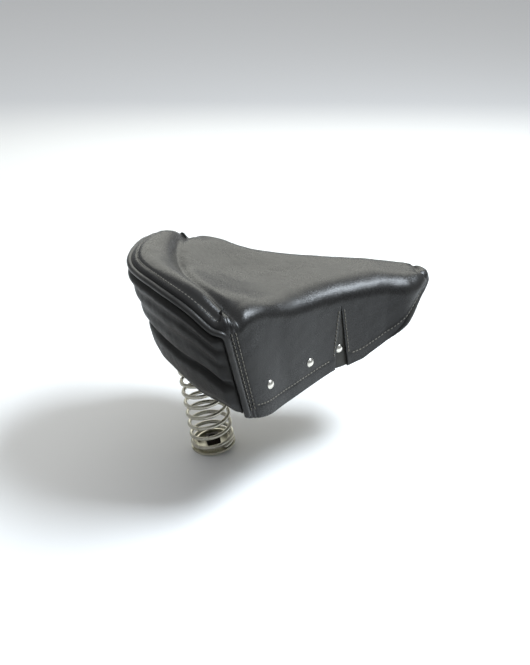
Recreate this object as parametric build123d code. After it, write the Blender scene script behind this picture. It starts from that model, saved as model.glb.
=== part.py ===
from build123d import *
import os
from math import cos, radians, sin

# Sprung solo motorcycle saddle.  X is the rider's right, Y runs forward to the nose, Z is up.
# The origin is the centre of the two bolt holes, on the bottom face of the nose hinge base.

# ---- Driving dimensions, mm ----

# Leather body: half widths from the middle plane, lengths along Y, heights from the base
SHOULDER_Z = 112.0          # height of the rear corners
SKIRT_DEPTH = 115.0         # rear corners down to the foot of the corner seams
HALF_WIDTH = 144.0          # at the rear corners
TAIL_Y = -291.0             # rearmost point of the cantle
CANTLE_DEPTH = 79.0         # tail forward to the rear corners
WAIST_HALF = 69.0
WAIST_Y = -62.0
NECK_HALF = 46.0
NECK_Y = 13.0
NOSE_HALF = 40.0
NOSE_Y = 58.0
NOSE_TIP_Y = 105.0          # where the nose wall would meet the shoulder height
CORNER_FLARE = 0.055        # slopes of the walls, mm outwards or forwards for each mm of drop
WAIST_FLARE = 0.03
CORNER_RAKE = 0.21
TAIL_RAKE = 0.31
NOSE_RAKE = 0.47
ARCH_RISE = 25.0            # rear welt at the tail above the rear corners

# Layers of the seat, from outside to inside
LEATHER = 3.5
LAYER_GAP = 0.2
SIDE_PAD = 3.0
TOP_PAD = 12.0
PAN = 2.0

# Seams and edges
WELT_WIDTH = 7.0
WELT_HEIGHT = 3.0
APRON_LIFT = 7.0            # apron's lower edge above the foot of the corner seams
HEM_HEIGHT = 26.0
PAD_EDGE_DROP = 68.0        # lower edge of the padding below the shoulder height
ROLL_WIDTH = 50.0
ROLL_EDGE_DROP = 10.0
PAN_REAR_DROP = 50.0
PAN_SIDE_LIFT = 14.0
NOSE_PANEL_LIFT = 33.0
DART_HEIGHT = 76.0
DART_WIDTH = 24.0
DART_LAP = 6.0

# Skirt rivets
RIVET_LIFT = 26.0           # above the foot of the corner seams
RIVET_SHANK_R = 1.9
RIVET_HEAD_R = 5.5
RIVET_HEAD_H = 2.6
RIVET_TAIL = 1.0
BURR_R = 4.5
BURR_T = 1.0
BURR_GAP = 0.5

# Nose hinge
PIVOT_Z = 36.0
PIVOT_R = 6.0
PIVOT_PLAY = 0.05
BUSH_WALL = 2.0
BUSH_PROUD = 0.5
BARREL_R = 12.0
BARREL_LENGTH = 34.0
BASE_LENGTH = 60.0
BASE_WIDTH = 30.0
BASE_T = 6.0
BASE_CORNER_R = 5.0
BASE_HOLE_SPACING = 40.0
BASE_HOLE_R = 4.2
WEB_WIDTH = 24.0
WASHER_T = 1.5
WASHER_R = 11.0
SIDE_PLAY = 0.1
EAR_T = 4.0
EAR_R = 13.0
EAR_TOP_HALF = 15.0
CLEVIS_PLATE_T = 4.0
CLEVIS_PLATE_LENGTH = 70.0
CLEVIS_SIDE_ROOM = 4.0
CLEVIS_BOLT_EDGE = 9.0
CLEVIS_BOLT_R = 3.0
CLEVIS_NUT_ACROSS = 10.0
CLEVIS_NUT_T = 5.0
LOW_HEAD_R = 5.5
LOW_HEAD_H = 3.0
HOLE_PLAY = 0.2
PIVOT_HEAD_T = 7.0
PIVOT_HEAD_ACROSS = 19.0
PIVOT_NUT_T = 8.0
THREAD_END = 2.0

# Rear spring and what carries it
SPRING_LEAN = 7.0           # degrees, top towards the rear
SPRING_FROM_TAIL = 90.0     # middle of the foot, forward of the tail
FOOT_Z = -125.0
SPRING_MEAN_R = 26.0
WIRE_R = 2.5
SPRING_PITCH = 15.6
SPRING_LENGTH = 158.0       # over the wire
CUP_T = 2.5
CUP_RIM = 8.0
CUP_PLAY = 1.0
SEAT_GAP = 0.3
BRIDGE_T = 4.0
BRIDGE_WIDTH = 34.0
BRIDGE_HALF_SPAN = 52.0
STUD_R = 5.0
NUT_ACROSS = 17.0
NUT_T = 8.0
BUMP_ROOM = 5.5
BUMP_LENGTH = 60.0
BUMP_COUNTERBORE = 20.0

# ---- Places that follow from them ----

CORNER_Y = TAIL_Y + CANTLE_DEPTH
HEM_Z = SHOULDER_Z - SKIRT_DEPTH
LEG_FOOT = (CORNER_Y + CORNER_RAKE * SKIRT_DEPTH, HEM_Z)
CORNER = (CORNER_Y, SHOULDER_Z)
ENVELOPE_FLOOR = HEM_Z - 17
ENVELOPE_ROOF = SHOULDER_Z + 53
WALL_FLOOR = ENVELOPE_FLOOR - 5
INNER_FLOOR = WALL_FLOOR - 5        # inner shapes run past the outer ones
TOP_SPANS = 6
SPAN = HALF_WIDTH + 60              # half width of side-view cuts, wider than the seat
REAR = TAIL_Y - 40
FRONT = NOSE_TIP_Y + 30

UNDER_LEATHER = LEATHER + LAYER_GAP
PAD_SIDE = UNDER_LEATHER + SIDE_PAD
PAD_TOP = UNDER_LEATHER + TOP_PAD
PAN_SIDE = PAD_SIDE + LAYER_GAP
PAN_TOP = PAD_TOP + LAYER_GAP
PAN_INSIDE = PAN_SIDE + PAN
PAN_UNDER = PAN_TOP + PAN


def towards_tail(share):
    """Y at a share of the way from the waist back to the rear corners."""
    return WAIST_Y + share * (CORNER_Y - WAIST_Y)


# Side-view outlines, as (Y, Z)
TOP_POINTS = [(REAR, SHOULDER_Z + 33), (TAIL_Y, SHOULDER_Z + 34), (TAIL_Y + 24, SHOULDER_Z + 34),
              (TAIL_Y + 48, SHOULDER_Z + 25), (CORNER_Y - 10, SHOULDER_Z + 15),
              (CORNER_Y + 12, SHOULDER_Z + 6), (towards_tail(0.7), SHOULDER_Z + 1),
              (towards_tail(0.5), SHOULDER_Z - 1.4), (WAIST_Y, SHOULDER_Z - 5),
              (NECK_Y, SHOULDER_Z - 7), (NOSE_Y, SHOULDER_Z - 15), (FRONT, SHOULDER_Z - 32)]
NOSE_CORNER = (NECK_Y + 12, HEM_Z + 25)
SKIRT_HEM = [LEG_FOOT, (towards_tail(0.63), HEM_Z - 9), (towards_tail(0.43), HEM_Z - 8),
             (towards_tail(0.23), HEM_Z - 4.5), (WAIST_Y, HEM_Z), (NECK_Y - 33, HEM_Z + 5), NOSE_CORNER]
BOW_TOP_Z = SHOULDER_Z - 27
NOSE_BOW = [NOSE_CORNER, (NOSE_Y - 16, SHOULDER_Z - 77), (NOSE_Y - 3, SHOULDER_Z - 61),
            (NOSE_Y + 8, SHOULDER_Z - 41), (NOSE_Y + 22, BOW_TOP_Z - 3), (FRONT, BOW_TOP_Z)]
ARCH = [CORNER, (CORNER_Y - 20, SHOULDER_Z + 0.34 * ARCH_RISE),
        (CORNER_Y - 37, SHOULDER_Z + 0.66 * ARCH_RISE), (CORNER_Y - 58, SHOULDER_Z + 0.9 * ARCH_RISE),
        (TAIL_Y, SHOULDER_Z + ARCH_RISE), (REAR, SHOULDER_Z + ARCH_RISE)]


# ---- Shapes shared by the pieces ----

def in_spans(curve, count):
    """The same curve as a run of shorter edges, so that no face is very long."""
    return [curve.trim(i / count, (i + 1) / count) for i in range(count)]


def half_outline(z):
    """Right half of the seat's plan at height z, from the tail round to the nose tip."""
    drop = SHOULDER_Z - z
    wide = HALF_WIDTH + CORNER_FLARE * drop
    tail = TAIL_Y + TAIL_RAKE * (drop + ARCH_RISE)
    corner = CORNER_Y + CORNER_RAKE * drop
    side = WAIST_FLARE * drop
    tip = NOSE_TIP_Y - NOSE_RAKE * drop
    reach = corner - tail
    return [(0, tail), (0.5 * wide, tail + 0.27 * reach), (0.85 * wide, tail + 0.66 * reach),
            (wide, corner), (0.5 * (wide + WAIST_HALF), 0.5 * (corner + WAIST_Y)),
            (WAIST_HALF + side, WAIST_Y), (NECK_HALF + side, NECK_Y),
            (NOSE_HALF + side, NOSE_Y - 0.3 * NOSE_RAKE * drop), (0.62 * NOSE_HALF, tip - 10), (0, tip)]


def outline(z, inset):
    """Closed plan face at height z, moved in from the outer leather by inset."""
    half = half_outline(z)
    points = [Vector(*p, z) for p in half + [(-x, y) for x, y in reversed(half[1:-1])]]
    count = len(points)
    along = [(points[(i + 1) % count] - points[i - 1]).normalized() for i in range(count)]
    shift = [Vector(-t.Y, t.X) * inset for t in along]
    spans = []
    for i in range(count):
        j = (i + 1) % count
        handle = (points[j] - points[i]).length / 3
        spans.append(Bezier(points[i] + shift[i], points[i] + along[i] * handle + shift[i],
                            points[j] - along[j] * handle + shift[j], points[j] + shift[j]))
    return make_face(spans)


def side_cut(*edges):
    """A side-view outline, drawn as (Y, Z), carried right across the seat."""
    return extrude(Plane.YZ.offset(-SPAN) * make_face(list(edges)), amount=2 * SPAN, dir=(1, 0, 0))


def region(*points):
    return side_cut(*Polyline(*points, close=True).edges())


def under_top(drop, floor=INNER_FLOOR):
    """Everything under the seat's top surface, lowered by drop."""
    top = Spline(*[(y, z - drop) for y, z in TOP_POINTS])
    rear, front = top @ 0, top @ 1
    sides = Polyline((front.X, front.Y), (front.X, floor), (rear.X, floor), (rear.X, rear.Y))
    return side_cut(*in_spans(top, TOP_SPANS), *sides.edges())


def envelope(inset, drop, floor=ENVELOPE_FLOOR):
    """Solid seat shape, moved in by inset at the walls and down by drop at the top."""
    walls = loft([outline(WALL_FLOOR, inset), outline(ENVELOPE_ROOF, inset)], ruled=True)
    return walls & under_top(drop, floor)


def right_half(shape):
    return shape & Pos(SPAN / 2, 0, 0) * Box(SPAN, 4 * SPAN, 4 * SPAN)


def other_side(shape):
    return mirror(shape, about=Plane.YZ)


def surface_at(shape, origin, direction):
    """Plane on the shape's furthest surface along a line, with its Z pointing out."""
    aim = Vector(*direction)
    hits = shape.find_intersection_points(Axis(origin, direction))
    point, normal = max(hits, key=lambda hit: hit[0].dot(aim))
    return Plane(origin=point, z_dir=normal if normal.dot(aim) > 0 else -normal)


def column(radius, low, high):
    """Round bar on the local Z axis between two heights."""
    return Pos(0, 0, low) * Cylinder(radius, high - low, align=(Align.CENTER, Align.CENTER, Align.MIN))


def hexagon_bar(across, low, high):
    return extrude(Plane.XY.offset(low) * RegularPolygon(across / 2, 6, major_radius=False), high - low)


# ---- Leather, padding and pan: layers of one shape ----

outer = envelope(0, 0)
leather = outer - envelope(LEATHER, LEATHER, INNER_FLOOR)
padding = envelope(UNDER_LEATHER, UNDER_LEATHER) - envelope(PAD_SIDE, PAD_TOP, INNER_FLOOR)
pan_shell = envelope(PAN_SIDE, PAN_TOP) - envelope(PAN_INSIDE, PAN_UNDER, INNER_FLOOR)
welt_shell = envelope(-WELT_HEIGHT, -WELT_HEIGHT) - envelope(0, 0, INNER_FLOOR)

arch = Spline(*ARCH)
leg = Line(LEG_FOOT, CORNER)
hem = Spline(*SKIRT_HEM)
bow = Polyline(*NOSE_BOW)
arch_end = (REAR, SHOULDER_Z + ARCH_RISE)
bow_end = (FRONT, BOW_TOP_Z)

dart_y = WAIST_Y + 12
dart_foot = HEM_Z - 20
dart_apex = HEM_Z + 9 + DART_HEIGHT


def dart(lap):
    """The inverted V in the skirt, widened and raised by lap."""
    half = DART_WIDTH * 0.7 + lap
    return region((dart_y - half, dart_foot), (dart_y, dart_apex + 2 * lap), (dart_y + half, dart_foot))


around_cover = Polyline(bow_end, (FRONT, ENVELOPE_ROOF), (REAR, ENVELOPE_ROOF), arch_end)
cover = leather & side_cut(arch, leg, hem, *bow.edges(), *around_cover.edges()) - dart(0)

apron_hem = HEM_Z + APRON_LIFT
apron_corner = (LEG_FOOT[0] - CORNER_RAKE * APRON_LIFT, apron_hem)
apron_edge = Polyline(CORNER, apron_corner, (REAR, apron_hem), arch_end)
apron = leather & side_cut(arch, *apron_edge.edges())

upper_bow = Polyline(*NOSE_BOW[2:])
nose_hem = HEM_Z + NOSE_PANEL_LIFT
around_nose = Polyline(bow_end, (FRONT, nose_hem), (NOSE_Y + 8, nose_hem), NOSE_BOW[2])
nose_panel = leather & side_cut(*upper_bow.edges(), *around_nose.edges())


def strip(points, half):
    """Side-view band of even width along a run of points."""
    run = [Vector(*p) for p in points]
    sides = ([], [])
    for i, p in enumerate(run):
        along = (run[min(i + 1, len(run) - 1)] - run[max(i - 1, 0)]).normalized()
        across = Vector(-along.Y, along.X) * half
        sides[0].append((p.X + across.X, p.Y + across.Y))
        sides[1].append((p.X - across.X, p.Y - across.Y))
    return region(*sides[0], *reversed(sides[1]))


cantle_bead = welt_shell & strip([LEG_FOOT, *ARCH], WELT_WIDTH / 2)
nose_bead = welt_shell & strip(NOSE_BOW, WELT_WIDTH / 2)

# ---- Padding ----

roll_front = TAIL_Y + ROLL_WIDTH
pad_edge = SHOULDER_Z - PAD_EDGE_DROP
roll_edge = SHOULDER_Z - ROLL_EDGE_DROP
foam_pad = padding & region((roll_front, pad_edge), (NECK_Y, pad_edge), (NOSE_Y + 8, BOW_TOP_Z - 10),
                            (FRONT, BOW_TOP_Z), (FRONT, ENVELOPE_ROOF), (roll_front, ENVELOPE_ROOF))
foam_pad = foam_pad - dart(DART_LAP + LAYER_GAP)
roll_back = roll_front - LAYER_GAP
roll_pad = padding & region((REAR, roll_edge), (roll_back, roll_edge), (roll_back, ENVELOPE_ROOF),
                            (REAR, ENVELOPE_ROOF))

lining_low = Spline(*[(y, z + 1.5) for y, z in SKIRT_HEM[:-1]])
lining_high = Spline(*[(y, z + 1.5 + HEM_HEIGHT) for y, z in SKIRT_HEM[:-1]])
lining_ends = [Line(lining_low @ 0, lining_high @ 0), Line(lining_low @ 1, lining_high @ 1)]
lining = right_half(padding & side_cut(lining_low, lining_high, *lining_ends)) - dart(DART_LAP + LAYER_GAP)
gusset_floor = Pos(0, 0, HEM_Z + 1 - 2 * SPAN) * Box(4 * SPAN, 4 * SPAN, 4 * SPAN)
gusset = right_half(padding & dart(DART_LAP)) - gusset_floor

# ---- Pressed steel pan ----

pan_low = HEM_Z + PAN_SIDE_LIFT
pan_rear = SHOULDER_Z - PAN_REAR_DROP
seat_pan = pan_shell & region(
    (REAR, pan_rear), (CORNER_Y, pan_rear), (LEG_FOOT[0] + 3, pan_low), (NECK_Y - 33, pan_low),
    (NOSE_CORNER[0], NOSE_CORNER[1] + 12), (NOSE_Y, SHOULDER_Z - 45), (FRONT, SHOULDER_Z - 45),
    (FRONT, ENVELOPE_ROOF), (REAR, ENVELOPE_ROOF))

# ---- Skirt rivets ----

RIVET_PLACES = [(towards_tail(0.62), False), (towards_tail(0.227), False), (dart_y, True)]
rivets = []
burrs = []
holes = []
for y, in_dart in RIVET_PLACES:
    wall = surface_at(outer, (0, y, HEM_Z + RIVET_LIFT), (1, 0, 0))
    seat = -UNDER_LEATHER if in_dart else 0.0
    inside = -PAN_INSIDE - BURR_GAP
    ball_r = (RIVET_HEAD_R ** 2 + RIVET_HEAD_H ** 2) / (2 * RIVET_HEAD_H)
    head = Pos(0, 0, RIVET_HEAD_H - ball_r) * Sphere(ball_r) & column(RIVET_HEAD_R + 1, 0, RIVET_HEAD_H + 1)
    shank = column(RIVET_SHANK_R, inside - BURR_T - RIVET_TAIL, seat + LAYER_GAP + 0.1)
    rivets.append(wall * (Pos(0, 0, seat + LAYER_GAP) * head + shank))
    burrs.append(wall * (column(BURR_R, inside - BURR_T, inside) - column(
        RIVET_SHANK_R + HOLE_PLAY, inside - BURR_T, inside)))
    holes.append(wall * column(RIVET_SHANK_R + HOLE_PLAY, inside - 1, 1))

for hole in holes:
    cover -= hole
    cover -= other_side(hole)
    lining -= hole
    gusset -= hole
    seat_pan -= hole
    seat_pan -= other_side(hole)

# ---- Nose hinge ----

bush_r = PIVOT_R + PIVOT_PLAY + BUSH_WALL
on_pivot = Plane(origin=(0, 0, PIVOT_Z), x_dir=(0, 1, 0), z_dir=(1, 0, 0))
half_barrel = BARREL_LENGTH / 2
base_plate = extrude(RectangleRounded(BASE_WIDTH, BASE_LENGTH, BASE_CORNER_R), BASE_T)
web_half = BASE_HOLE_SPACING / 2 - 2.4 * BASE_HOLE_R
web = Pos(0, 0, (BASE_T + PIVOT_Z) / 2) * Box(WEB_WIDTH, 2 * web_half, PIVOT_Z - BASE_T)
hinge_base = base_plate + web + on_pivot * column(BARREL_R, -half_barrel, half_barrel)
hinge_base -= on_pivot * column(bush_r, -half_barrel, half_barrel)
for side in (-1, 1):
    hinge_base -= Pos(0, side * BASE_HOLE_SPACING / 2, 0) * column(BASE_HOLE_R, 0, BASE_T)

bush_end = half_barrel + BUSH_PROUD
bush = on_pivot * (column(bush_r, -bush_end, bush_end) - column(PIVOT_R + PIVOT_PLAY, -bush_end, bush_end))

washer_in = bush_end + SIDE_PLAY
washer_out = washer_in + WASHER_T
ear_in = washer_out
ear_out = ear_in + EAR_T
washer = on_pivot * (column(WASHER_R, washer_in, washer_out) - column(
    PIVOT_R + HOLE_PLAY, washer_in, washer_out))

pivot_end = -ear_out - PIVOT_NUT_T - THREAD_END
pivot_bolt = on_pivot * (column(PIVOT_R, pivot_end, ear_out) + hexagon_bar(
    PIVOT_HEAD_ACROSS, ear_out, ear_out + PIVOT_HEAD_T))
pivot_nut = on_pivot * (hexagon_bar(PIVOT_HEAD_ACROSS, -ear_out - PIVOT_NUT_T, -ear_out) - column(
    PIVOT_R, -ear_out - PIVOT_NUT_T, -ear_out))

clevis_top = PAN_UNDER + 0.1
clevis_half = NOSE_HALF - PAN_INSIDE - CLEVIS_SIDE_ROOM
clevis_layer = under_top(clevis_top) - under_top(clevis_top + CLEVIS_PLATE_T)
clevis = clevis_layer & Pos(0, 0, SHOULDER_Z) * Box(2 * clevis_half, CLEVIS_PLATE_LENGTH, SPAN)
ear_side = Pos(0, PIVOT_Z) * Circle(EAR_R) + make_face(Polyline(
    (-EAR_R, PIVOT_Z), (EAR_R, PIVOT_Z), (EAR_TOP_HALF, SHOULDER_Z), (-EAR_TOP_HALF, SHOULDER_Z), close=True))
ear = extrude(Plane.YZ.offset(ear_in) * ear_side, EAR_T) & under_top(clevis_top + 1)
ear -= on_pivot * column(PIVOT_R + HOLE_PLAY, ear_in, ear_out)
clevis += [ear, other_side(ear)]

clevis_bolts = []
clevis_nuts = []
bolt_x = clevis_half - CLEVIS_BOLT_EDGE
bolt_y = CLEVIS_PLATE_LENGTH / 2 - CLEVIS_BOLT_EDGE
under_plate = -PAN - 0.1 - CLEVIS_PLATE_T
for x in (-bolt_x, bolt_x):
    for y in (-bolt_y, bolt_y):
        place = surface_at(seat_pan, (x, y, 0), (0, 0, 1))
        bolt_foot = under_plate - CLEVIS_NUT_T - THREAD_END
        bolt = column(CLEVIS_BOLT_R, bolt_foot, 0.5) + column(LOW_HEAD_R, 0.1, LOW_HEAD_H)
        clevis_bolts.append(place * bolt)
        nut_low = under_plate - 0.1 - CLEVIS_NUT_T
        nut = hexagon_bar(CLEVIS_NUT_ACROSS, nut_low, under_plate - 0.1) - column(
            CLEVIS_BOLT_R, nut_low, under_plate)
        clevis_nuts.append(place * nut)
        clearance = place * column(CLEVIS_BOLT_R + HOLE_PLAY, under_plate - 1, 1)
        seat_pan -= clearance
        clevis -= clearance
        foam_pad -= place * column(LOW_HEAD_R + 0.5, -1, LOW_HEAD_H + 0.5)

# ---- Rear spring ----

foot_y = TAIL_Y + SPRING_FROM_TAIL
lean = radians(SPRING_LEAN)
on_spring = Plane(origin=(0, foot_y, FOOT_Z), x_dir=(1, 0, 0), z_dir=(0, -sin(lean), cos(lean)))
seat_r = SPRING_MEAN_R + WIRE_R
boss_r = SPRING_MEAN_R - WIRE_R - CUP_PLAY
wire_low = CUP_T + SEAT_GAP + WIRE_R
turns_height = SPRING_LENGTH - 2 * WIRE_R
top_cup_z = CUP_T + SEAT_GAP + SPRING_LENGTH + SEAT_GAP
bridge_z = top_cup_z + CUP_T
stud_top = bridge_z + BRIDGE_T


def cup(hole_r):
    """Pressed spring seat on the local Z axis: a flat flange round a raised locating ring."""
    pressing = column(seat_r, 0, CUP_T) + column(boss_r, 0, CUP_RIM)
    return pressing - column(boss_r - CUP_T, CUP_T, CUP_RIM) - column(hole_r, 0, CUP_T)


foot_cup = on_spring * cup(STUD_R)
foot_nut = on_spring * (Pos(0, 0, CUP_T) * extrude(Rectangle(NUT_ACROSS, NUT_ACROSS), NUT_T) - column(
    STUD_R, CUP_T, CUP_T + NUT_T))

helix = Helix(SPRING_PITCH, turns_height, SPRING_MEAN_R, center=(0, 0, wire_low))
wire = sweep(Plane(origin=helix @ 0, z_dir=helix % 0) * Circle(WIRE_R), path=helix, is_frenet=True)
saddle_spring = on_spring * wire

top_cup = on_spring * Pos(0, 0, bridge_z) * Rot(180, 0, 0) * cup(STUD_R + HOLE_PLAY)
bump_r = SPRING_MEAN_R - WIRE_R - BUMP_ROOM
bump_low = top_cup_z - BUMP_LENGTH
head_z = bump_low + BUMP_COUNTERBORE
bump_stop = column(bump_r, bump_low, top_cup_z - 0.1) - column(STUD_R + HOLE_PLAY, bump_low, top_cup_z)
bump_stop = on_spring * (bump_stop - column(NUT_ACROSS / 2 + 2.5, bump_low, head_z))
top_bolt = column(STUD_R, head_z - 1, stud_top + NUT_T + THREAD_END) + hexagon_bar(
    NUT_ACROSS, head_z - NUT_T, head_z - 0.1)
top_bolt = on_spring * top_bolt
top_nut = on_spring * (hexagon_bar(NUT_ACROSS, stud_top, stud_top + NUT_T) - column(
    STUD_R, stud_top, stud_top + NUT_T))

bridge_leg_x = BRIDGE_HALF_SPAN - BRIDGE_T / 2
bridge = Pos(0, 0, bridge_z + BRIDGE_T / 2) * Box(2 * BRIDGE_HALF_SPAN, BRIDGE_WIDTH, BRIDGE_T)
for side in (-1, 1):
    bridge += Pos(side * bridge_leg_x, 0, bridge_z) * Box(
        BRIDGE_T, BRIDGE_WIDTH, SPAN, align=(Align.CENTER, Align.CENTER, Align.MIN))
bridge -= column(STUD_R + HOLE_PLAY, bridge_z, stud_top)
bridge = (on_spring * bridge) & under_top(PAN_UNDER + 0.1)

# ---- Write one STEP for each node ----

nodes = {
    "leather_cover": cover, "rear_apron": apron, "nose_panel": nose_panel,
    "cantle_bead": cantle_bead, "nose_bead": nose_bead,
    "foam_pad": foam_pad, "cantle_roll_pad": roll_pad, "seat_pan": seat_pan,
    "dart_gusset_right": gusset, "dart_gusset_left": other_side(gusset),
    "skirt_lining_right": lining, "skirt_lining_left": other_side(lining),
    "skirt_rivets_right": rivets, "skirt_rivets_left": [other_side(r) for r in rivets],
    "skirt_burrs_right": burrs, "skirt_burrs_left": [other_side(b) for b in burrs],
    "hinge_base": hinge_base, "hinge_bush": bush, "pivot_bolt": pivot_bolt, "pivot_nut": pivot_nut,
    "pivot_washers": [washer, other_side(washer)], "nose_clevis": clevis,
    "clevis_bolts": clevis_bolts, "clevis_nuts": clevis_nuts,
    "spring_bridge": bridge, "spring_top_cup": top_cup, "top_cup_bolt": top_bolt,
    "top_cup_nut": top_nut, "bump_stop": bump_stop, "saddle_spring": saddle_spring,
    "spring_foot_cup": foot_cup, "foot_weld_nut": foot_nut,
}

os.makedirs("parts", exist_ok=True)
for name, shape in nodes.items():
    pieces = shape if isinstance(shape, list) else [shape]
    solids = [solid for piece in pieces for solid in piece.solids()]
    group = Compound(solids)
    group.label = name
    export_step(group, f"parts/{name}.step")
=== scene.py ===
import math

import bmesh
import bpy
import numpy as np
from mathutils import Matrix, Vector


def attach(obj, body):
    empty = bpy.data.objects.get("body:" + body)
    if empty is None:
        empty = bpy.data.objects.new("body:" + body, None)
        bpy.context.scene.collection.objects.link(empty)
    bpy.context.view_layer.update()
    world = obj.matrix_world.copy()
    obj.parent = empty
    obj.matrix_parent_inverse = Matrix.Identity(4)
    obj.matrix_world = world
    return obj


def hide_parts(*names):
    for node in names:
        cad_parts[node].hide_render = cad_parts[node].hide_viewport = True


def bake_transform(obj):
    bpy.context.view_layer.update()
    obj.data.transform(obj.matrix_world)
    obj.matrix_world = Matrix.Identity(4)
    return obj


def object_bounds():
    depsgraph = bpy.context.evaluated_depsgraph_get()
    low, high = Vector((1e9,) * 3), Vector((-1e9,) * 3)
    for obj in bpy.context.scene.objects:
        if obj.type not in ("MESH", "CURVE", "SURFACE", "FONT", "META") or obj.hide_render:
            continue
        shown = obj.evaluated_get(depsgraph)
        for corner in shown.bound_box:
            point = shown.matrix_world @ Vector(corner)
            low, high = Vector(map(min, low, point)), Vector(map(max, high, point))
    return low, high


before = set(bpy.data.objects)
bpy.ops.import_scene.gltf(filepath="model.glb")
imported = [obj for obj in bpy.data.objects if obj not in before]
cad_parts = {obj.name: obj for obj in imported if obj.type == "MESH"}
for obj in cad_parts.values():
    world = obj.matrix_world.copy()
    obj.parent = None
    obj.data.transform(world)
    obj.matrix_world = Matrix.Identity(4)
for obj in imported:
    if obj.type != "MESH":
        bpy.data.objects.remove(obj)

cad_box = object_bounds()
MM = 0.001


# ---- Studio ----
# A pale seamless floor under the foot of the spring, a broad soft light above and behind the
# saddle, and a weaker one on its right side.

floor_z = cad_box[0].z
bpy.ops.mesh.primitive_plane_add(size=14, location=(0, 0, floor_z))
studio_floor = bpy.context.object
studio_floor.name = "studio_floor"
paper = bpy.data.materials.new("studio_paper")
paper.use_nodes = True
paper.node_tree.nodes["Principled BSDF"].inputs["Base Color"].default_value = (0.86, 0.86, 0.85, 1)
paper.node_tree.nodes["Principled BSDF"].inputs["Roughness"].default_value = 0.9
studio_floor.data.materials.append(paper)

sky = bpy.data.worlds.new("studio_air")
sky.use_nodes = True
sky.node_tree.nodes["Background"].inputs["Color"].default_value = (0.93, 0.96, 1.0, 1)
sky.node_tree.nodes["Background"].inputs["Strength"].default_value = 0.34
bpy.context.scene.world = sky
bpy.context.scene.view_settings.view_transform = "Standard"


def softbox(name, place, aim, width, height, watts, tint):
    lamp = bpy.data.lights.new(name, "AREA")
    lamp.shape = "RECTANGLE"
    lamp.size, lamp.size_y = width, height
    lamp.energy = watts
    lamp.color = tint
    holder = bpy.data.objects.new(name, lamp)
    holder.location = place
    holder.rotation_euler = (Vector(aim) - Vector(place)).to_track_quat("-Z", "Y").to_euler()
    bpy.context.scene.collection.objects.link(holder)


softbox("roof_light", (0.18, 0.72, 1.30), (0, -0.05, 0.08), 0.80, 0.42, 40, (0.84, 0.92, 1.0))
softbox("far_window", (-1.35, 0.30, 0.80), (0, -0.12, 0.10), 1.7, 0.9, 9, (1.0, 1.0, 0.90))
softbox("floor_wash", (-1.5, 0.3, 4.5), (-1.5, 0.3, 0), 8, 8, 92, (1.0, 1.0, 1.0))

# The view looks across the saddle from its right side, a little from behind and above.
view_turn = math.radians(15.83)
view_drop = math.radians(24.0)
view_away = Vector((-math.cos(view_turn), math.sin(view_turn), 0))
view_line = view_away * math.cos(view_drop) - Vector((0, 0, 1)) * math.sin(view_drop)
view_target = Vector((0, -0.082, 0.072))
camera_data = bpy.data.cameras.new("studio_camera")
camera = bpy.data.objects.new("studio_camera", camera_data)
camera.location = view_target - view_line * 1.3126
camera.rotation_euler = view_line.to_track_quat("-Z", "Y").to_euler()
camera_data.lens = 56.5
camera_data.shift_x = -0.0546
camera_data.shift_y = -0.0568
camera_data.clip_start = 0.05
bpy.context.scene.collection.objects.link(camera)
bpy.context.scene.camera = camera


# ---- Leather cover ----
# The top and both side skirts are one hide of dressed cow leather, drawn 3 mm thick, over
# the padding.  It turns over a soft shoulder, and the skirts flare a little towards their hems.

SHOULDER_Z = 112.0
HALF_WIDTH = 144.0
TAIL_Y = -291.0
CORNER_Y = -212.0
WAIST = (69.0, -62.0)
NECK = (46.0, 13.0)
NOSE = (40.0, 58.0)
NOSE_TIP_Y = 100.0
ARCH_RISE = 25.0
HEM_Z = -3.0
CORNER, TIP, ROUND = 3.0, 9.0, 18     # plan stations: rear corner, nose tip, all the way round


def plan_points(z):
    """Right half of the saddle's plan at height z, from the tail round to the nose tip."""
    drop = SHOULDER_Z - z
    wide = HALF_WIDTH + 0.055 * drop
    tail = TAIL_Y + 0.31 * (drop + ARCH_RISE)
    corner = CORNER_Y + 0.21 * drop
    side = 0.03 * drop
    tip = NOSE_TIP_Y - 0.47 * drop
    reach = corner - tail
    return [(0, tail), (0.5 * wide, tail + 0.27 * reach), (0.85 * wide, tail + 0.66 * reach),
            (wide, corner), (0.5 * (wide + WAIST[0]), 0.5 * (corner + WAIST[1])),
            (WAIST[0] + side, WAIST[1]), (NECK[0] + side, NECK[1]),
            (NOSE[0] + side, NOSE[1] - 0.141 * drop), (0.62 * NOSE[0], tip - 10), (0, tip)]


def plan_ring(stations, z):
    """Points of the plan curve at one height, for station numbers counted from the tail."""
    half = plan_points(z)
    points = np.array(half + [(-x, y) for x, y in reversed(half[1:-1])], float)
    chord = np.roll(points, -1, 0) - np.roll(points, 1, 0)
    along = chord / np.linalg.norm(chord, axis=1)[:, None]
    first = np.floor(stations).astype(int) % ROUND
    second = (first + 1) % ROUND
    share = (stations - np.floor(stations))[:, None]
    handle = np.linalg.norm(points[second] - points[first], axis=1)[:, None] / 3
    a, d = points[first], points[second]
    b, c = a + along[first] * handle, d - along[second] * handle
    back = 1 - share
    return back**3 * a + 3 * back**2 * share * b + 3 * back * share**2 * c + share**3 * d


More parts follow.
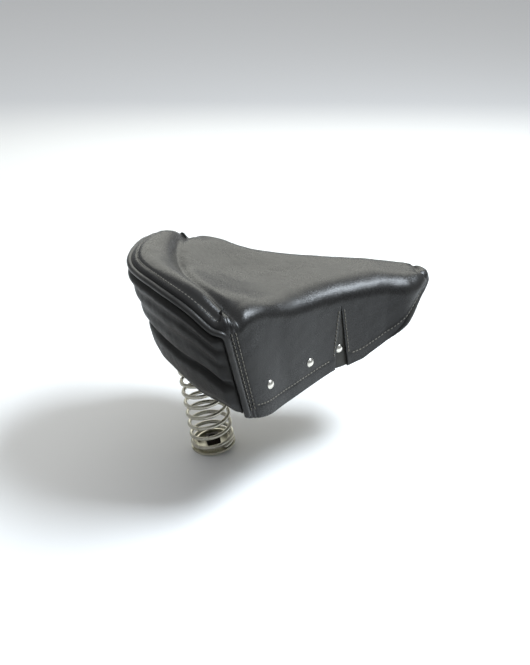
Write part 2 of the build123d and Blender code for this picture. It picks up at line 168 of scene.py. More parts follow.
def wall(stations, heights, proud=0.0):
    """Points of the saddle's outer wall in mm, moved outwards by proud."""
    shape = np.broadcast(stations, heights, proud).shape
    s = np.broadcast_to(stations, shape).ravel().astype(float)
    z = np.broadcast_to(heights, shape).ravel().astype(float)
    out = np.broadcast_to(proud, shape).ravel().astype(float)[:, None]
    low, high = -25.0, 165.0
    share = ((z - low) / (high - low))[:, None]
    flat = plan_ring(s, low) * (1 - share) + plan_ring(s, high) * share
    step = 0.02
    ahead = plan_ring(s + step, low) * (1 - share) + plan_ring(s + step, high) * share
    behind = plan_ring(s - step, low) * (1 - share) + plan_ring(s - step, high) * share
    along = ahead - behind
    along /= np.linalg.norm(along, axis=1)[:, None]
    normal = np.stack([along[:, 1], -along[:, 0]], 1)
    flat = flat + normal * out
    return np.column_stack([flat, z]).reshape(*shape, 3), np.column_stack(
        [normal, 0 * z]).reshape(*shape, 3)


def smooth(low, high, value):
    share = np.clip((value - low) / (high - low), 0, 1)
    return share * share * (3 - 2 * share)


def arch_height(x):
    """Height of the rear seam, which rises in an arch from corner to corner."""
    return SHOULDER_Z + ARCH_RISE * (1 - np.clip(np.abs(x) / HALF_WIDTH, 0, 1) ** 3.7)


def ripple(points, size, seed):
    """Smooth irregular values between -1 and 1 for places a given size apart."""
    rng = np.random.default_rng(seed)
    total = np.zeros(points.shape[:-1])
    for octave in range(5):
        turn = rng.normal(size=(6, 3))
        turn /= np.linalg.norm(turn, axis=1)[:, None]
        phase = rng.uniform(0, 2 * math.pi, 6)
        wave = points @ (turn.T * 2 * math.pi / (size * rng.uniform(0.6, 1.6, 6))) + phase
        total += np.sin(wave).sum(-1) / 6
        size *= 0.62
    return total / 2.2


LEVEL_POINTS = np.array([(-330, 112), (-212, 112), (-137, 110.6), (-62, 107), (13, 103), (35, 97.5),
                         (50, 94), (62, 92.5), (72, 91), (84, 86), (100, 79)], float)


def eased(points, width):
    """A line through chosen points with its corners rounded over a width, as fine samples."""
    along = np.arange(points[0, 0], points[-1, 0] + 1, 1.0)
    height = np.interp(along, points[:, 0], points[:, 1])
    padded = np.pad(height, width, mode="reflect", reflect_type="odd")
    weights = np.hanning(2 * width + 3)[1:-1]
    return along, np.convolve(padded, weights / weights.sum(), "valid")


LEVELS = eased(LEVEL_POINTS, 22)


def top_height(x, y):
    """Height of the seat's top: a raised, rolled cantle, a shallow dish and a falling nose."""
    level = np.interp(y, *LEVELS)
    edge = TAIL_Y + 79 * np.clip(np.abs(x) / HALF_WIDTH, 0, 1) ** 1.75
    inside = y - edge
    roll = np.maximum(-233 + 32 * (np.abs(x) / 120) ** 2.2 - edge, 10)
    lift = (arch_height(x) + 4 - SHOULDER_Z) * (1 - smooth(10, 150, inside) ** 0.8)
    bump = 8.0 * np.sin(math.pi * np.clip(inside / roll, 0, 1)) ** 0.9 * (roll / 58) ** 0.6
    crease = -5.6 * np.exp(-((inside - roll) / 7.5) ** 2) * (1 - 0.8 * smooth(112, 142, np.abs(x)))
    dish = -3.5 * np.exp(-((y + 150) / 60) ** 2 - (x / 70) ** 2)
    channel = -1.2 * np.exp(-((inside - 8) / 2.6) ** 2)
    behind_tip = 84 - 26 * (x / 40) ** 2 - y
    nose_roll = (2.6 * np.exp(-((behind_tip - 4) / 5) ** 2)
                 - 1.8 * np.exp(-((behind_tip - 13) / 3.4) ** 2)) * (1 - smooth(12, 25, np.abs(x)))
    to_corner = np.hypot(np.abs(x) - 140, (y + 205) * 0.8)
    fall = -12 * np.exp(-(to_corner / 34) ** 2)
    return level + lift + bump + crease + dish + channel + fall + nose_roll * smooth(30, 50, y)


def shoulder_radius(stations):
    """How deep and how wide the rounded shoulder is, in mm."""
    deep = np.interp(stations, [0, 2.6, 3.2, 4, 6, 7, 8, 8.5, 9], [8, 9, 15, 20, 24, 22, 14, 8, 6])
    wide = np.interp(stations, [0, 2.6, 3.3, 4, 6, 7, 8, 8.5, 9], [8, 9, 20, 31, 34, 29, 17, 9, 6])
    return deep, wide


def sheet_mesh(name, patches, body, thickness, weld=0.05):
    """One leather piece from grids of points in mm, welded along their shared edges."""
    vertices, faces = [], []
    for grid, flip in patches:
        rows, columns = grid.shape[:2]
        start = len(vertices)
        vertices.extend(map(tuple, (grid.reshape(-1, 3) * MM)))
        for i in range(rows - 1):
            for j in range(columns - 1):
                a = start + i * columns + j
                quad = (a, a + 1, a + columns + 1, a + columns)
                faces.append(quad[::-1] if flip else quad)
    mesh = bpy.data.meshes.new(name)
    mesh.from_pydata(vertices, [], faces)
    piece = bpy.data.objects.new(name, mesh)
    bpy.context.scene.collection.objects.link(piece)
    bpy.context.view_layer.objects.active = piece
    work = bmesh.new()
    work.from_mesh(mesh)
    bmesh.ops.remove_doubles(work, verts=work.verts, dist=weld * MM)
    bmesh.ops.dissolve_degenerate(work, edges=work.edges, dist=1e-7)
    bmesh.ops.recalc_face_normals(work, faces=work.faces)
    work.to_mesh(mesh)
    work.free()
    if thickness:
        solid = piece.modifiers.new("thickness", "SOLIDIFY")
        solid.thickness = thickness * MM
        solid.offset = -1
        rounded = piece.modifiers.new("edges", "BEVEL")
        rounded.width = 0.9 * MM
        rounded.segments = 2
        rounded.limit_method = "ANGLE"
        rounded.angle_limit = math.radians(50)
        with bpy.context.temp_override(object=piece, active_object=piece, selected_objects=[piece]):
            bpy.ops.object.modifier_apply(modifier="thickness")
            bpy.ops.object.modifier_apply(modifier="edges")
    for face in piece.data.polygons:
        face.use_smooth = True
    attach(piece, body)
    return piece


def mirrored(grid):
    other = grid.copy()
    other[..., 0] *= -1
    return other


# stations evenly spaced along the shoulder, with one exactly on the rear corner
def spread(start, end, count):
    fine = np.linspace(start, end, 4000)
    ring = plan_ring(fine, SHOULDER_Z)
    run = np.concatenate([[0], np.cumsum(np.linalg.norm(np.diff(ring, axis=0), axis=1))])
    return np.interp(np.linspace(0, run[-1], count), run, fine)


DART_Y = -50.0
DART_TOP = 82.0
DART_HALF = 12.0
rear_stations = spread(0, CORNER, 60)
fine = np.linspace(CORNER, TIP, 6000)
dart_station = float(fine[np.argmin(np.abs(wall(fine, 40.0)[0][:, 1] - DART_Y))])
CORNER_REACH = 0.24
side_stations = np.concatenate([
    np.linspace(CORNER, CORNER + CORNER_REACH, 24),
    spread(CORNER + CORNER_REACH, dart_station, 54)[1:],
    spread(dart_station, TIP, 76)[1:],
])

HEM = np.array([
    (-190, -3), (-172, -9), (-157, -12), (-127, -11), (-97, -7.5), (-62, -3), (-20, 2), (4, 12),
    (25, 22), (42, 35), (54, 51), (63, 66), (73, 75), (83, 78.5), (140, 79),
], float)
HEM = eased(HEM, 9)


def hem_height(stations):
    """Height of the cover's lower edge: the skirt's hem, then the bow round the nose."""
    z = np.full(np.shape(stations), 0.0)
    for _ in range(12):
        y = wall(stations, z)[0][..., 1]
        z = 0.5 * z + 0.5 * np.interp(y, *HEM)
    return z


REAR_STATION_MM = 48.0
SIDE_STATION_MM = 95.0


def from_corner(stations):
    """Distance in mm from the rear corner seam, negative round the back."""
    gap = stations - CORNER
    return np.where(gap < 0, gap * REAR_STATION_MM, gap * SIDE_STATION_MM)


def corner_dip(stations):
    """The seam turns the rear corner in a curve instead of a point."""
    near = np.clip(1 - np.abs(from_corner(stations)) / 30, 0, 1)
    return 6 * (1 - np.sqrt(1 - near ** 2))


def leg_channels(stations):
    """Two shallow channels that the corner stitches pull into the hide."""
    gap = from_corner(stations)
    return 0.9 * np.exp(-((gap - 8.6) / 1.9) ** 2) + 0.8 * np.exp(-((gap - 14.7) / 1.9) ** 2)


def top_grid(stations, steps=44):
    """Half of the top from the middle line out to the shoulder, then over the shoulder."""
    deep, wide = shoulder_radius(stations)
    rim, normal = wall(stations, SHOULDER_Z)
    low = np.full(len(stations), 95.0)
    for _ in range(8):
        foot = wall(stations, low)[0]
        inner = foot - normal * wide[:, None]
        inner[:, 0] = np.maximum(inner[:, 0], 0)
        low = 0.5 * low + 0.5 * (top_height(inner[:, 0], inner[:, 1]) - deep - corner_dip(stations))
    low = np.maximum(low, hem_height(stations) + 0.6)
    middle = -246 + (rim[:, 1] - TAIL_Y) * (298 / (NOSE_TIP_Y - TAIL_Y))
    share = np.linspace(0, 1, steps)[None, :]
    x = inner[:, :1] * share
    y = middle[:, None] + (inner[:, 1:2] - middle[:, None]) * share ** 1.6
    flat = np.stack([x, y, top_height(x, y)], -1)
    turn = np.linspace(0, math.pi / 2, 9)[None, 1:, None]
    foot = wall(stations, low)[0]
    start = flat[:, -1, :]
    corner = foot.copy()
    corner[:, 2] = start[:, 2]
    arc = start[:, None, :] + (corner - start)[:, None, :] * np.sin(turn) + (
        foot - corner)[:, None, :] * (1 - np.cos(turn))
    lean = normal[:, None, :] * np.sin(turn) + np.array((0.0, 0.0, 1.0)) * np.cos(turn)
    arc = arc - lean * (leg_channels(stations)[:, None, None] * np.minimum(1, 2.5 * np.sin(turn)))
    return np.concatenate([flat, arc], 1), low


def band_rows(high, edge):
    """Heights down a skirt: even rows, then closer ones along the hem band."""
    share = np.linspace(0, 1, 30)[None, :-1]
    band = np.array([15.5, 14.2, 12.6, 9, 5, 1.8, 0.5, 0.0])[None, :]
    squeeze = np.clip((high - edge) / 24, 0, 1)[:, None]
    upper = high[:, None] + (edge[:, None] + 17.5 * squeeze - high[:, None]) * share
    return np.concatenate([upper, edge[:, None] + band * squeeze], 1)


def skirt_grid(stations, high, side):
    """A skirt between two stations; side opens the dart: -1 behind it, +1 in front of it."""
    edge = hem_height(stations)
    z = band_rows(high, edge)
    near = np.clip(1 - np.abs(stations - dart_station) / 0.55, 0, 1)[:, None]
    opening = DART_HALF * np.clip((DART_TOP - z) / (DART_TOP - 5), 0, 1)
    shift = side * near * opening / SIDE_STATION_MM
    s = stations[:, None] + shift
    lip = 0.5 * (1 - smooth(13.4, 15.0, z - edge[:, None])) - leg_channels(s)
    return wall(s, z, lip)[0]


rear_top, rear_low = top_grid(rear_stations)
side_top, side_low = top_grid(side_stations)
behind_dart = side_stations <= dart_station + 1e-9
before_dart = side_stations >= dart_station - 1e-9
rear_skirt = skirt_grid(side_stations[behind_dart], side_low[behind_dart], -1)
front_skirt = skirt_grid(side_stations[before_dart], side_low[before_dart], 1)


def soften(grid, amount, seed):
    """The small unevenness of hide stretched by hand."""
    shift = ripple(grid, 70.0, seed) * amount
    grid = grid.copy()
    grid[..., 2] += shift * 0.6
    grid[..., 0] += shift * 0.5 * smooth(2, 14, grid[..., 0])
    return grid


half_patches = [rear_top, side_top, rear_skirt, front_skirt]
patches = []
for grid in half_patches:
    soft = soften(grid, 0.7, 3)
    patches.append((soft, False))
    patches.append((mirrored(soft), True))
COVER_THICK = 3.0
leather_cover = sheet_mesh("leather_top_and_skirts", patches, "seat", COVER_THICK)
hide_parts("leather_cover")


def make_adder(nodes, links):
    """A function that adds one maths node and wires or sets its two inputs."""
    def sums(operation, a, b):
        node = nodes.new("ShaderNodeMath")
        node.operation = operation
        for slot, value in enumerate((a, b)):
            if isinstance(value, (int, float)):
                node.inputs[slot].default_value = value
            else:
                links.new(value, node.inputs[slot])
        return node.outputs[0]

    return sums


# Grain, creases and handling wear of dressed hide.  Shared by every leather piece.
def make_hide_group():
    group = bpy.data.node_groups.new("dressed_hide", "ShaderNodeTree")
    for name, value in (("Pore Scale", 900.0), ("Crease", 0.5), ("Wear", 0.3)):
        socket = group.interface.new_socket(name, in_out="INPUT", socket_type="NodeSocketFloat")
        socket.default_value = value
    for name in ("Tone", "Gloss", "Relief"):
        group.interface.new_socket(name, in_out="OUTPUT", socket_type="NodeSocketFloat")
    nodes, links = group.nodes, group.links
    inputs, outputs = nodes.new("NodeGroupInput"), nodes.new("NodeGroupOutput")
    place = nodes.new("ShaderNodeTexCoord")
    sums = make_adder(nodes, links)

    def texture(kind, scale, **values):
        node = nodes.new(kind)
        links.new(place.outputs["Object"], node.inputs["Vector"])
        if scale is not None:
            node.inputs["Scale"].default_value = scale
        for key, value in values.items():
            node.inputs[key].default_value = value
        return node

    pores = texture("ShaderNodeTexVoronoi", None)
    pores.feature = "DISTANCE_TO_EDGE"
    links.new(inputs.outputs["Pore Scale"], pores.inputs["Scale"])
    fine = texture("ShaderNodeTexNoise", 420.0, Detail=4.0, Roughness=0.6)
    creases = texture("ShaderNodeTexNoise", 38.0, Detail=5.0, Roughness=0.55, Distortion=1.4)
    clouds = texture("ShaderNodeTexNoise", 9.0, Detail=3.0, Roughness=0.5)
    rubbed = texture("ShaderNodeTexNoise", 23.0, Detail=6.0, Roughness=0.7)
    pore_height = sums("MINIMUM", sums("MULTIPLY", pores.outputs["Distance"], 3.0), 0.5)
    folds = sums("MULTIPLY", sums("ABSOLUTE", sums("SUBTRACT", creases.outputs[0], 0.5), 0), 4.0)
    relief = sums("ADD", sums("MULTIPLY", pore_height, 0.45), sums("MULTIPLY", fine.outputs[0], 0.25))
    relief = sums("ADD", relief, sums("MULTIPLY", sums("MINIMUM", folds, 0.35), inputs.outputs["Crease"]))
    rubs = sums("MAXIMUM", sums("SUBTRACT", rubbed.outputs[0], 0.45), 0.0)
    worn = sums("MULTIPLY", rubs, inputs.outputs["Wear"])
    tone = sums("ADD", sums("MULTIPLY", clouds.outputs[0], 0.5), sums("MULTIPLY", worn, 2.0))
    gloss = sums("ADD", sums("MULTIPLY", clouds.outputs[0], 0.5), sums("MULTIPLY", fine.outputs[0], 0.3))
    links.new(sums("MINIMUM", tone, 1.0), outputs.inputs["Tone"])
    links.new(gloss, outputs.inputs["Gloss"])
    links.new(relief, outputs.inputs["Relief"])
    return group


dressed_hide = make_hide_group()


def hide(name, dark, light, rough, pores=900.0, crease=0.5, wear=0.3, depth=0.3, coat=0.0,
         shine=0.25):
    """A leather finish: two tones, a range of roughness, and grain as relief."""
    finish = bpy.data.materials.new(name)
    finish.use_nodes = True
    nodes, links = finish.node_tree.nodes, finish.node_tree.links
    surface = nodes["Principled BSDF"]
    grain = nodes.new("ShaderNodeGroup")
    grain.node_tree = dressed_hide
    grain.inputs["Pore Scale"].default_value = pores
    grain.inputs["Crease"].default_value = crease
    grain.inputs["Wear"].default_value = wear
    tone = nodes.new("ShaderNodeMix")
    tone.data_type = "RGBA"
    tone.inputs[6].default_value = (*dark, 1)
    tone.inputs[7].default_value = (*light, 1)
    links.new(grain.outputs["Tone"], tone.inputs[0])
    links.new(tone.outputs[2], surface.inputs["Base Color"])
    spread_gloss = nodes.new("ShaderNodeMapRange")
    spread_gloss.inputs["From Min"].default_value = 0.25
    spread_gloss.inputs["From Max"].default_value = 0.6
    spread_gloss.inputs["To Min"].default_value = rough[0]
    spread_gloss.inputs["To Max"].default_value = rough[1]
    links.new(grain.outputs["Gloss"], spread_gloss.inputs["Value"])
    links.new(spread_gloss.outputs[0], surface.inputs["Roughness"])
    bump = nodes.new("ShaderNodeBump")
    bump.inputs["Strength"].default_value = depth
    bump.inputs["Distance"].default_value = 0.0006
    links.new(grain.outputs["Relief"], bump.inputs["Height"])
    links.new(bump.outputs["Normal"], surface.inputs["Normal"])
    surface.inputs["Specular IOR Level"].default_value = shine
    surface.inputs["Coat Weight"].default_value = coat
    surface.inputs["Coat Roughness"].default_value = 0.22
    return finish


def dress(piece, finish):
    piece.data.materials.clear()
    piece.data.materials.append(finish)
    if hasattr(piece.data, "polygons"):
        for face in piece.data.polygons:
            face.material_index = 0


cover_hide = hide("cover_hide", (0.005, 0.005, 0.0055), (0.030, 0.029, 0.026), (0.20, 0.36), coat=0.08)
dress(leather_cover, cover_hide)


# ---- Cantle welt ----
# A rolled leather welt sewn into the seam between cover and back panel.  It runs up one rear
# corner, round the arch of the cantle and down the other corner.

def even_run(line, out, step, width):
    """The same run with points a fixed step apart, its sharp turns eased over a few steps."""
    run = np.concatenate([[0], np.cumsum(np.linalg.norm(np.diff(line, axis=0), axis=1))])
    marks = np.linspace(0, run[-1], int(run[-1] / step))
    weights = np.hanning(2 * width + 3)[1:-1]
    eased_rows = []
    for rows in (line, out):
        even = np.stack([np.interp(marks, run, rows[:, axis]) for axis in range(3)], 1)
        wide = np.pad(even, ((width, width), (0, 0)), mode="reflect", reflect_type="odd")
        eased_rows.append(np.stack([np.convolve(wide[:, axis], weights / weights.sum(), "valid")
                                    for axis in range(3)], 1))
    return eased_rows


def swept(name, line, radius, body, sides=14, flat=1.0, outward=None):
    """A round or slightly flattened roll along a line of points in mm, with rounded ends."""
    line = np.asarray(line, float)
    radius = np.broadcast_to(radius, len(line)).astype(float).copy()
    radius[[0, -1]] *= 0.55
    ahead = np.gradient(line, axis=0)
    ahead /= np.linalg.norm(ahead, axis=1)[:, None]
    side = np.cross(ahead[0], (0.3, 0.2, 1.0)) if outward is None else outward[0]
    rings = []
    for i, (point, forward) in enumerate(zip(line, ahead)):
        guide = side if outward is None else outward[i]
        side = guide - forward * np.dot(guide, forward)
        side /= np.linalg.norm(side)
        up = np.cross(forward, side)
        turn = np.linspace(0, 2 * math.pi, sides, endpoint=False)[:, None]
        rings.append(point + (np.cos(turn) * side * flat + np.sin(turn) * up) * radius[i])
    grid = np.array(rings)
    count = len(line)
    points = np.concatenate([grid.reshape(-1, 3), line[:1] - ahead[:1] * radius[0] * 0.6,
                             line[-1:] + ahead[-1:] * radius[-1] * 0.6])
    faces = []
    for i in range(count - 1):
        for j in range(sides):
            k = (j + 1) % sides
            faces.append((i * sides + j, i * sides + k, (i + 1) * sides + k, (i + 1) * sides + j))
    first, last = count * sides, count * sides + 1
    for j in range(sides):
        k = (j + 1) % sides
        faces.append((first, k, j))
        faces.append((last, (count - 1) * sides + j, (count - 1) * sides + k))
    mesh = bpy.data.meshes.new(name)
    mesh.from_pydata([tuple(p) for p in points * MM], [], faces)
    for face in mesh.polygons:
        face.use_smooth = True
    mesh.validate()
    piece = bpy.data.objects.new(name, mesh)
    bpy.context.scene.collection.objects.link(piece)
    if body:
        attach(piece, body)
    return piece


WELT_R = 3.7
leg_top = float(rear_low[-1])
leg_line, leg_out = wall(np.full(46, CORNER), np.linspace(HEM_Z + 1, leg_top, 46), 1.6)
arch_line, arch_out = wall(rear_stations[::-1][1:], rear_low[::-1][1:] + 0.5, 1.6)
half_line = np.concatenate([leg_line, arch_line])
half_out = np.concatenate([leg_out, arch_out])
half_out[:, 2] += 0.5 * smooth(46, 60, np.arange(len(half_line)))
welt_line, welt_out = even_run(np.concatenate([half_line, mirrored(half_line[:-1])[::-1]]),
                               np.concatenate([half_out, mirrored(half_out[:-1])[::-1]]), 1.5, 6)
welt_line += welt_out * (ripple(welt_line, 16.0, 11) * 0.2)[:, None]
cantle_welt = swept("cantle_welt", welt_line, WELT_R, "seat", outward=welt_out)
welt_hide = hide("welt_hide", (0.007, 0.007, 0.0075), (0.06, 0.058, 0.053), (0.26, 0.42), pores=1200.0,
                 wear=0.8, coat=0.08)
dress(cantle_welt, welt_hide)
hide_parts("cantle_bead")


# ---- Nose welt ----
# The same rolled welt finishes the front edges of both skirts and passes over the nose tip.

bow_stations = side_stations[side_stations > 5.9]
bow_edge = hem_height(bow_stations)
bow_line, bow_out = wall(bow_stations, bow_edge + 1.0, 0.4)
keep = bow_line[:, 1] > 22
bow_line, bow_out = bow_line[keep], bow_out[keep]
nose_line = np.concatenate([bow_line, mirrored(bow_line[:-1])[::-1]])
nose_out = np.concatenate([bow_out, mirrored(bow_out[:-1])[::-1]])
nose_line, nose_out = even_run(nose_line, nose_out, 1.5, 4)
from_end = np.minimum(np.arange(len(nose_line)), np.arange(len(nose_line))[::-1]) * 1.5
nose_welt = swept("nose_welt", nose_line, 1.2 + 2.2 * smooth(0, 30, from_end), "seat", outward=nose_out)
dress(nose_welt, welt_hide)
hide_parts("nose_bead")


# ---- Back panel ----
# A soft hide panel sewn under the cantle welt and into both corner seams.  It hangs free at
# its lower edge, and has settled into level folds with a full lower lobe.

apron_half = spread(0, CORNER, 64)
apron_stations = np.concatenate([-apron_half[:0:-1], apron_half])
apron_top = np.interp(np.abs(apron_stations), rear_stations, rear_low) - 0.5
across = np.abs(apron_stations) / CORNER
apron_foot = HEM_Z + 7 + 1.5 * np.cos(across * 9)
share = np.linspace(0, 1, 70)[None, :]
apron_z = apron_top[:, None] + (apron_foot - apron_top)[:, None] * share
flat_panel = wall(apron_stations[:, None], apron_z)[0]
side_hold = 1 - smooth(0.86, 0.97, across)[:, None]
top_hold = smooth(0.0, 0.10, share)
wander = ripple(flat_panel, 220.0, 21) * 0.02
level = share + wander
fold_depth = (9.0 - 3.6 * np.exp(-((level - 0.19) / 0.045) ** 2) - 2.6 * np.exp(-((level - 0.37) / 0.05) ** 2)
              - 7.5 * np.exp(-((level - 0.58 - 0.05 * across[:, None]) / 0.045) ** 2)
              + 1.5 * np.exp(-((level - 0.76) / 0.12) ** 2) - 8.0 * smooth(0.84, 1.0, level))
tucks = ripple(flat_panel, 75.0, 5) * 0.7
seam_ridge = 2.4 * np.exp(-((across[:, None] - 0.945) / 0.018) ** 2)
apron_grid = wall(apron_stations[:, None], apron_z, (fold_depth + tucks) * side_hold * top_hold
                  + seam_ridge * top_hold - 2.2 * (1 - top_hold * side_hold))[0]
back_panel = sheet_mesh("back_panel", [(apron_grid, False)], "seat", 2.4)
panel_hide = hide("panel_hide", (0.006, 0.006, 0.0062), (0.032, 0.030, 0.026), (0.38, 0.55),
                  crease=0.8, depth=0.4)
dress(back_panel, panel_hide)
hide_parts("rear_apron")


# ---- Nose panel ----
# A small piece of the same hide closes the front of the nose under its welt.

nose_half = side_stations[side_stations > 7.0]
nose_high = hem_height(nose_half) + 1.5
nose_low = np.minimum(nose_high - 0.5, 30.0 + 22 * smooth(8.3, 7.0, nose_half))
share = np.linspace(0, 1, 22)[None, :]
nose_z = nose_high[:, None] + (nose_low - nose_high)[:, None] * share
nose_grid = wall(nose_half[:, None], nose_z, -1.6 + 1.2 * np.sin(math.pi * share))[0]
nose_cap = sheet_mesh("nose_cap", [(nose_grid, False), (mirrored(nose_grid), True)], "seat", 1.8)
dress(nose_cap, cover_hide)
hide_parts("nose_panel")


# ---- Dart gussets and hem linings ----
# A gusset of split hide closes each dart from behind.  A band of hide lines each skirt's hem,
# between the skirt and the steel pan.

RIVET_Z = 23.0
lining_hide = hide("lining_hide", (0.02, 0.018, 0.017), (0.06, 0.055, 0.05), (0.55, 0.75), depth=0.6)
gusset_hide = hide("gusset_hide", (0.014, 0.014, 0.014), (0.065, 0.063, 0.052), (0.36, 0.52), depth=0.4)
for side_name, turned in (("right", False), ("left", True)):
    rows = np.linspace(-1, 1, 13)[:, None]
    foot = float(hem_height(np.array([dart_station]))[0])
    z = np.linspace(foot + 0.4, DART_TOP + 6, 40)[None, :]
    pulled = 1 - np.exp(-((z - RIVET_Z) / 13) ** 2)
    narrowing = np.clip((DART_TOP + 14 - z) / (DART_TOP + 14), 0.1, 1)
    spread_half = (DART_HALF + 5) * narrowing / SIDE_STATION_MM
    gusset_grid = wall(dart_station + rows * spread_half, z, -3.6 + 2.2 * (1 - rows ** 2) * pulled)[0]
    gusset = sheet_mesh("dart_gusset_hide_" + side_name,
                        [(mirrored(gusset_grid) if turned else gusset_grid, turned)], "seat", 2.0)
    dress(gusset, gusset_hide)
    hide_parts("dart_gusset_" + side_name)
    lining_stations = side_stations[(side_stations > 3.12) & (side_stations < 6.0)]
    edge = hem_height(lining_stations)[:, None] + 1.2
    lining_grid = wall(lining_stations[:, None], edge + np.linspace(0, 25, 12)[None, :], -3.8)[0]
    keep = np.abs(lining_stations - dart_station) > 0.2
    lengths = [lining_grid[keep & (lining_stations < dart_station)],
               lining_grid[keep & (lining_stations > dart_station)]]
    lining = sheet_mesh("hem_lining_" + side_name,
                        [(mirrored(g) if turned else g, turned) for g in lengths], "seat", 2.0)
    dress(lining, lining_hide)
    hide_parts("skirt_lining_" + side_name)


# ---- Padding ----
# Felt and latex under the leather: the seat pad on the pan, and the roll inside the cantle.
# Both are cut a little small and swell until the hide holds them.

felt = hide("felt_and_latex", (0.42, 0.36, 0.27), (0.62, 0.55, 0.43), (0.85, 0.95), pores=300.0, depth=0.8)


def pad(name, node, front, back, thick):
    """A pad under the top between two places along the saddle, closed all round."""
    grids = []
    for group in (rear_stations[::3], side_stations[::3]):
        grid = top_grid(group, 20)[0][:, :21].copy()
        grid[..., 0] *= 0.93
        grid[..., 1] = np.clip((grid[..., 1] + 110) * 0.95 - 110, back, front)
        grid[..., 2] = top_height(grid[..., 0], grid[..., 1]) - 7.0
        grids.append(grid)
    whole = np.concatenate([grids[0], grids[1][1:]])
    whole = whole[np.concatenate([[True], np.abs(np.diff(whole[:, 0, 1])) > 0.05])]
    under = whole.copy()
    under[..., 2] -= thick
    patches = [(whole, False), (mirrored(whole), True), (under, True), (mirrored(under), False)]
    for top, low in ((whole[:, -1], under[:, -1]), (whole[0], under[0]), (whole[-1], under[-1])):
        rim = np.stack([top, low], 1)
        patches += [(rim, False), (mirrored(rim), True)]
    piece = sheet_mesh(name, patches, "seat", 0)
    swell(piece, 0.005, 2.5)
    dress(piece, felt)
    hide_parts(node)
    return piece


def swell(piece, voxel, limit):
    """Inflates a closed pad a little with cloth simulation, no point moving more than limit mm."""
    scene = bpy.context.scene
    with bpy.context.temp_override(object=piece, active_object=piece, selected_objects=[piece]):
        remesh = piece.modifiers.new("remesh", "REMESH")
        remesh.mode = "VOXEL"
        remesh.voxel_size = voxel
        bpy.ops.object.modifier_apply(modifier="remesh")
    before = np.array([v.co[:] for v in piece.data.vertices])
    cloth = piece.modifiers.new("cloth", "CLOTH")
    cloth.settings.quality = 5
    cloth.settings.use_pressure = True
    cloth.settings.uniform_pressure_force = 4.0
    cloth.settings.effector_weights.gravity = 0.0
    cloth.point_cache.frame_start, cloth.point_cache.frame_end = 1, 14
    for frame_number in range(1, 15):
        scene.frame_set(frame_number)
    shape = piece.evaluated_get(bpy.context.evaluated_depsgraph_get()).to_mesh()
    after = np.array([v.co[:] for v in shape.vertices])
    piece.modifiers.remove(cloth)
    scene.frame_set(1)
    move = after - before
    length = np.linalg.norm(move, axis=1)[:, None]
    move *= np.minimum(1.0, limit * MM / np.maximum(length, 1e-9))
    piece.data.vertices.foreach_set("co", (before + move).ravel())
    for face in piece.data.polygons:
        face.use_smooth = True


pad("seat_padding", "foam_pad", 35, -228, 7.5)
pad("cantle_padding", "cantle_roll_pad", -236, -280, 9.0)


# ---- Stitching ----
# Waxed linen thread, one stitch about every five millimetres: beside the cantle welt, down both
# rear corners, along the hems, up each dart and round the nose.

def stitches(name, runs, pitch=5.0, length=3.8, thick=0.72):
    """Short rounded threads lying along lines of surface points, each with its normals."""
    sides = 6
    vertices, faces = [], []
    for line, out in runs:
        run = np.concatenate([[0], np.cumsum(np.linalg.norm(np.diff(line, axis=0), axis=1))])
        marks = np.arange(pitch / 2, run[-1] - pitch / 2, pitch)
        for mark in marks:
            middle = np.array([np.interp(mark, run, line[:, i]) for i in range(3)])
            ahead = np.array([np.interp(mark + 1.5, run, line[:, i]) for i in range(3)]) - middle
            ahead /= np.linalg.norm(ahead) + 1e-9
            up = np.array([np.interp(mark, run, out[:, i]) for i in range(3)])
            up -= ahead * np.dot(up, ahead)
            up /= np.linalg.norm(up) + 1e-9
            side = np.cross(ahead, up)
            start = len(vertices)
            for along, fat in ((-0.5, 0.35), (-0.38, 0.85), (0, 1.0), (0.38, 0.85), (0.5, 0.35)):
                sink = 0.45 * (abs(along) * 2) ** 3
                for j in range(sides):
                    turn = 2 * math.pi * j / sides
                    spot = middle + ahead * along * length + up * (0.15 - sink) + (
                        side * math.cos(turn) + up * math.sin(turn)) * thick * fat
                    vertices.append(tuple(spot * MM))
            for ring in range(4):
                for j in range(sides):
                    k = (j + 1) % sides
                    a, b = start + ring * sides, start + (ring + 1) * sides
                    faces.append((a + j, a + k, b + k, b + j))
            faces.append(tuple(start + j for j in range(sides))[::-1])
            faces.append(tuple(start + 4 * sides + j for j in range(sides)))
    mesh = bpy.data.meshes.new(name)
    mesh.from_pydata(vertices, [], faces)
    for face in mesh.polygons:
        face.use_smooth = True
    piece = bpy.data.objects.new(name, mesh)
    bpy.context.scene.collection.objects.link(piece)
    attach(piece, "seat")
    return piece


def both_sides(runs):
    return runs + [(mirrored(line), mirrored(out)) for line, out in runs]


cantle_edge, cantle_normal = wall(rear_stations, rear_low)
row_inner = cantle_edge - cantle_normal * 8.0
row_inner[:, 2] = top_height(row_inner[:, 0], row_inner[:, 1])
row_up = np.tile((0.0, 0.0, 1.0), (len(row_inner), 1))
cantle_row = (row_inner[row_inner[:, 0] > 0], row_up[row_inner[:, 0] > 0])
corner_rows = []
for gap in (0.09, 0.155):
    heights = np.linspace(HEM_Z + 6, float(side_low[0]) + 2, 60)
    corner_rows.append(wall(np.full(60, CORNER + gap), heights, 0.2))
rear_hem_stations = side_stations[(side_stations > 3.2) & (side_stations < dart_station - 0.18)]
hem_row = wall(rear_hem_stations, hem_height(rear_hem_stations) + 16.5, 0.2)
dart_rows = []
for side in (-1, 1):
    z = np.linspace(DART_TOP - 6, hem_height(np.array([dart_station]))[0] + 17, 40)
    opening = DART_HALF * np.clip((DART_TOP - z) / (DART_TOP - 5), 0, 1) + 4.0
    dart_rows.append(wall(dart_station + side * opening / SIDE_STATION_MM, z, 0.3))
room_for_row = side_low > hem_height(side_stations) + 11
front_hem_stations = side_stations[(side_stations > dart_station + 0.2) & room_for_row]
